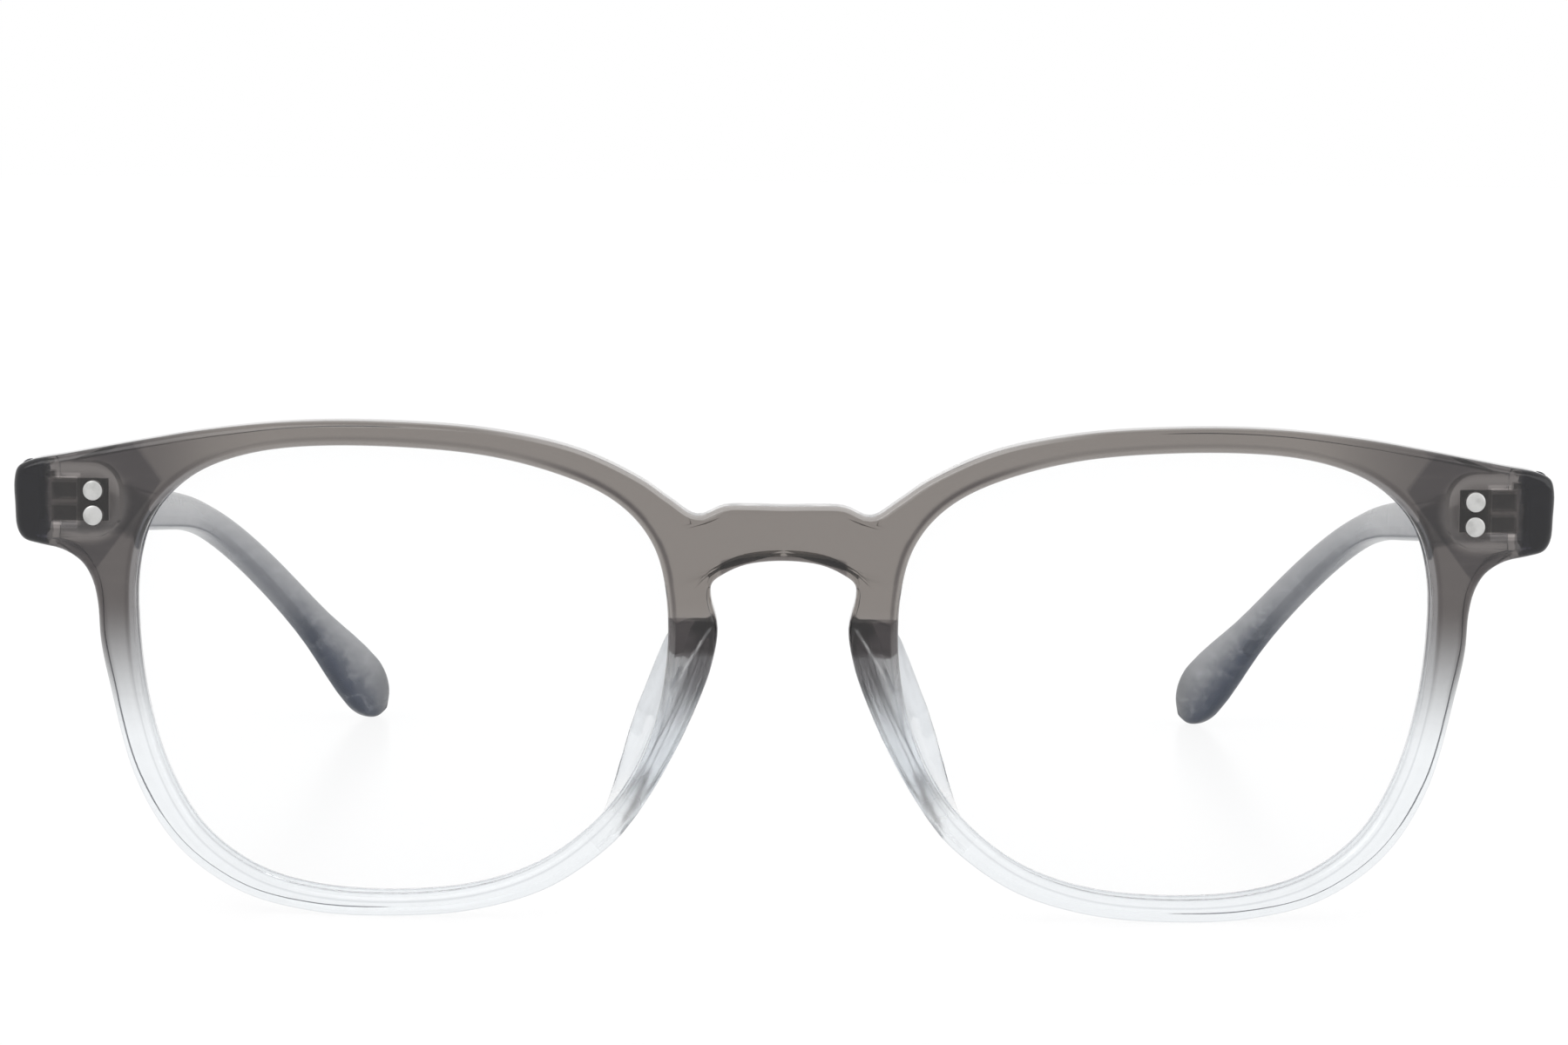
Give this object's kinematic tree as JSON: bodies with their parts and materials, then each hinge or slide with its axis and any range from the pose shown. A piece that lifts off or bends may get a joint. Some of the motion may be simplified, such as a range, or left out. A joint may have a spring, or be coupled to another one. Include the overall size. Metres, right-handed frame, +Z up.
{
  "type": "rectangular eyeglasses",
  "caption": "Rectangular acetate eyeglasses with a keyhole bridge, riveted hinges and folding temples with core wires.",
  "frame": {"origin": "under the middle of the glasses' box, on the surface that the rims and temple tips stand on", "axes": "+Z up, -Y the way the wearer looks, +X the wearer's left"},
  "size_m": [0.1428, 0.14, 0.0456],
  "materials": {
    "front_acetate": "polished",
    "lens": "clear",
    "temple_acetate": "polished",
    "hinge_metal": "satin",
    "rivet_metal": "polished",
    "screw_metal": "polished",
    "wire_metal": "drawn"
  },
  "bodies": {
    "front": {"front": "front_acetate", "lens_left": "lens", "lens_right": "lens", "nose_pad_left": "front_acetate", "nose_pad_right": "front_acetate", "front_hinge_left": "hinge_metal", "front_hinge_right": "hinge_metal", "front_rivet_upper_left": "rivet_metal", "front_rivet_lower_left": "rivet_metal", "front_rivet_upper_right": "rivet_metal", "front_rivet_lower_right": "rivet_metal", "hinge_screw_left": "screw_metal", "hinge_screw_right": "screw_metal"},
    "temple_left": {"temple_left": "temple_acetate", "core_wire_left": "wire_metal", "temple_hinge_left": "hinge_metal", "temple_rivet_front_left": "rivet_metal", "temple_rivet_rear_left": "rivet_metal"},
    "temple_right": {"temple_right": "temple_acetate", "core_wire_right": "wire_metal", "temple_hinge_right": "hinge_metal", "temple_rivet_front_right": "rivet_metal", "temple_rivet_rear_right": "rivet_metal"}
  },
  "joints": [
    {"name": "temple_left_fold", "type": "hinge", "parent": "front", "child": "temple_left", "pos_m": [0.0678, -0.05752, 0.03765], "axis": [0, 0, 1], "range_deg": [0, 82]},
    {"name": "temple_right_fold", "type": "hinge", "parent": "front", "child": "temple_right", "pos_m": [-0.0678, -0.05752, 0.03765], "axis": [0, 0, -1], "range_deg": [0, 72]}
  ]
}
